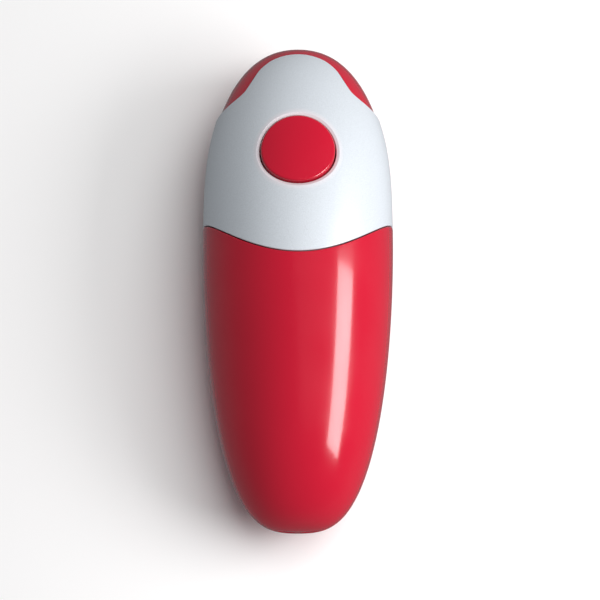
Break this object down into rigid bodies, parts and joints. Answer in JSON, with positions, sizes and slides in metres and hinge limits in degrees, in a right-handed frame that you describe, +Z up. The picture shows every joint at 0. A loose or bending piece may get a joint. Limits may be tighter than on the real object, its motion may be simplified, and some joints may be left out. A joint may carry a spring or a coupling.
{
  "type": "electric can opener",
  "caption": "Battery hand-free can opener: smooth oval red body, silver head with round start button, motor and gear train inside, toothed drive wheel and swinging cutter beneath.",
  "frame": {"origin": "on the surface the opener stands on, under the middle of its length and width", "axes": "+Y to the nose that sits on the can's rim, +Z up through the button side, +X to the right seen from above"},
  "size_m": [0.065, 0.1699, 0.052],
  "materials": {
    "red_gloss": "glossy crimson moulded plastic",
    "silver_cover": "satin pearl-silver lacquer on moulded plastic",
    "stainless": "brushed stainless sheet",
    "hard_steel": "hardened, ground",
    "bright_steel": "plated",
    "screw_steel": "zinc plated",
    "white_gear": "natural acetal",
    "grey_frame": "moulded",
    "black_plastic": "moulded",
    "brass_bush": "turned",
    "magnet": "sintered ferrite",
    "board_green": "solder mask",
    "battery_skin": "printed sleeve",
    "red_wire": "vinyl",
    "black_wire": "vinyl"
  },
  "bodies": {
    "case": {"lower_housing": "red_gloss", "rear_cover": "red_gloss", "head_cover": "silver_cover", "head_plate": "stainless", "rim_guides": "bright_steel", "magnet_holder": "grey_frame", "lid_magnet": "magnet", "gearbox_base": "grey_frame", "gearbox_top": "grey_frame", "gearbox_spacers": "bright_steel", "gearbox_screws": "screw_steel", "motor_bracket": "stainless", "motor_screws": "screw_steel", "shaft_bushes": "brass_bush", "gear_pins": "bright_steel", "gear_sleeves": "white_gear", "motor_can": "bright_steel", "motor_cap": "black_plastic", "motor_terminals": "brass_bush", "circuit_board": "board_green", "switch_body": "black_plastic", "button_spring": "screw_steel", "board_parts": "black_plastic", "board_screws": "screw_steel", "aa_batteries": "battery_skin", "battery_tray": "grey_frame", "battery_contacts": "bright_steel", "battery_springs": "screw_steel", "red_leads": "red_wire", "black_leads": "black_wire", "case_screws": "screw_steel"},
    "start_button": {"start_button": "red_gloss"},
    "switch_plunger": {"switch_plunger": "black_plastic"},
    "battery_door": {"battery_door": "red_gloss"},
    "motor_rotor": {"motor_shaft": "bright_steel", "motor_pinion": "brass_bush"},
    "gear_one": {"gear_1": "white_gear"},
    "gear_two": {"gear_2": "white_gear"},
    "gear_three": {"gear_3": "white_gear"},
    "drive": {"output_gear": "white_gear", "drive_shaft": "bright_steel", "drive_wheel": "hard_steel", "drive_wheel_screw": "screw_steel"},
    "clutch": {"clutch_gear": "white_gear"},
    "cutter_arm": {"cutter_arm": "stainless", "arm_shaft": "bright_steel", "cutter_axle": "bright_steel", "friction_disc": "brass_bush", "spring_seat": "bright_steel", "clutch_spring": "screw_steel"},
    "cutter_wheel": {"cutter_wheel": "hard_steel"}
  },
  "joints": [
    {"name": "button_press", "type": "slide", "parent": "case", "child": "start_button", "axis": [0, -0.1692, -0.9856], "range_m": [0, 0.0015], "stiffness_N_per_m": 400, "springref_m": -0.0005, "deforming": ["button_spring"]},
    {"name": "switch_press", "type": "slide", "parent": "case", "child": "switch_plunger", "axis": [0, -0.1692, -0.9856], "range_m": [0, 0.0015]},
    {"name": "battery_door_hinge", "type": "hinge", "parent": "case", "child": "battery_door", "pos_m": [0, 0.001, 0.003], "axis": [1, 0, 0], "range_deg": [0, 70]},
    {"name": "drive_spin", "type": "hinge", "parent": "case", "child": "drive", "pos_m": [0, 0.052, 0.0042], "axis": [0, 0, 1], "continuous": true},
    {"name": "gear_three_spin", "type": "hinge", "parent": "case", "child": "gear_three", "pos_m": [-0.011, 0.03663, 0.023], "axis": [0, 0, 1], "continuous": true},
    {"name": "gear_two_spin", "type": "hinge", "parent": "case", "child": "gear_two", "pos_m": [0.00426, 0.03462, 0.0196], "axis": [0, 0, 1], "continuous": true},
    {"name": "gear_one_spin", "type": "hinge", "parent": "case", "child": "gear_one", "pos_m": [0, 0.0215, 0.0161], "axis": [0, 0, 1], "continuous": true},
    {"name": "motor_spin", "type": "hinge", "parent": "case", "child": "motor_rotor", "pos_m": [0, 0.009, 0.0161], "axis": [0, 0, 1], "continuous": true},
    {"name": "clutch_spin", "type": "hinge", "parent": "case", "child": "clutch", "pos_m": [0.01748, 0.0427, 0.027], "axis": [0, 0, 1], "continuous": true},
    {"name": "cutter_arm_swing", "type": "hinge", "parent": "case", "child": "cutter_arm", "pos_m": [0.01748, 0.0427, 0.0085], "axis": [0, 0, -1], "range_deg": [0, 20]},
    {"name": "cutter_wheel_spin", "type": "hinge", "parent": "cutter_arm", "child": "cutter_wheel", "pos_m": [0.0033, 0.0306, 0.0048], "axis": [0, 0, 1], "continuous": true}
  ],
  "couplings": [
    {"joint": "gear_three_spin", "follows": "drive_spin", "ratio": -3.2},
    {"joint": "gear_two_spin", "follows": "drive_spin", "ratio": 10.88},
    {"joint": "gear_one_spin", "follows": "drive_spin", "ratio": -39.168},
    {"joint": "motor_spin", "follows": "drive_spin", "ratio": 156.67},
    {"joint": "clutch_spin", "follows": "drive_spin", "ratio": -2.6667},
    {"joint": "switch_press", "follows": "button_press", "ratio": 1}
  ]
}
